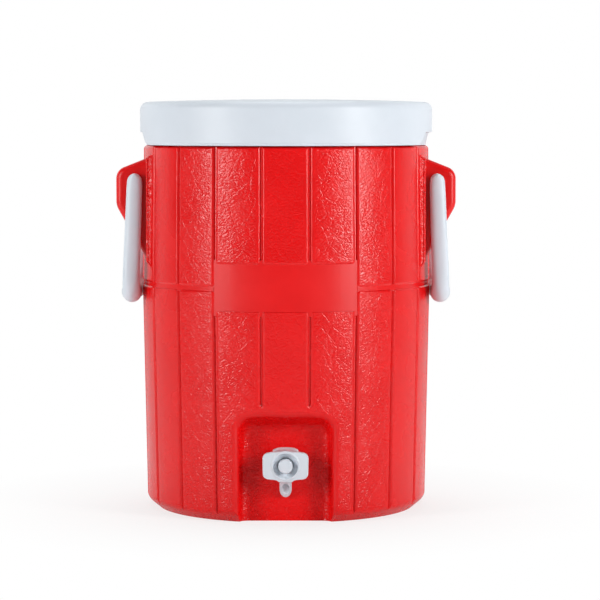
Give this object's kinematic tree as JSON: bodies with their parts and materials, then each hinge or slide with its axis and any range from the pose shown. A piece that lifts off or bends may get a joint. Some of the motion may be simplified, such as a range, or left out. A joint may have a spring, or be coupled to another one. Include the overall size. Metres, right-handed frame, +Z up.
{
  "type": "insulated water cooler jug",
  "caption": "Round insulated drink jug with flat staves, a lift-off lid, swinging bail handles and a push-button tap in an alcove at its foot.",
  "frame": {"origin": "centre of the foot on the floor, on the jug's axis", "axes": "+Z up along the jug's axis, the tap faces -Y, the handles are at -X and +X"},
  "size_m": [0.3856, 0.335, 0.4673],
  "materials": {
    "red_plastic": "satin",
    "white_plastic": "satin",
    "foam": "matte",
    "soft_rubber": "matte",
    "spring_steel": "satin"
  },
  "bodies": {
    "jug": {"outer_shell": "red_plastic", "wall_foam": "foam", "inner_liner": "white_plastic", "fill_plug": "white_plastic", "tap_body": "white_plastic", "stem_seal": "soft_rubber", "return_spring": "spring_steel", "outer_gasket": "soft_rubber", "inner_gasket": "soft_rubber", "tap_sleeve": "white_plastic", "lock_nut": "white_plastic"},
    "lid": {"lid_cover": "white_plastic", "lid_foam": "foam", "lid_panel": "white_plastic", "lid_gasket": "soft_rubber"},
    "left_bail": {"left_handle": "white_plastic"},
    "right_bail": {"right_handle": "white_plastic"},
    "plunger": {"tap_button": "white_plastic", "valve_stem": "white_plastic", "valve_disc": "soft_rubber", "stem_clip": "spring_steel"}
  },
  "joints": [
    {"name": "lid_lift", "type": "slide", "parent": "jug", "child": "lid", "axis": [0, 0, 1], "range_m": [0, 0.08]},
    {"name": "left_bail_swing", "type": "hinge", "parent": "jug", "child": "left_bail", "pos_m": [-0.171, 0, 0.3744], "axis": [0, 1, 0], "range_deg": [0, 170]},
    {"name": "right_bail_swing", "type": "hinge", "parent": "jug", "child": "right_bail", "pos_m": [0.171, 0, 0.3744], "axis": [0, -1, 0], "range_deg": [0, 170]},
    {"name": "button_press", "type": "slide", "parent": "jug", "child": "plunger", "axis": [0, 1, 0], "range_m": [0, 0.004], "stiffness_N_per_m": 1500, "springref_m": -0.002, "deforming": ["return_spring"]}
  ]
}
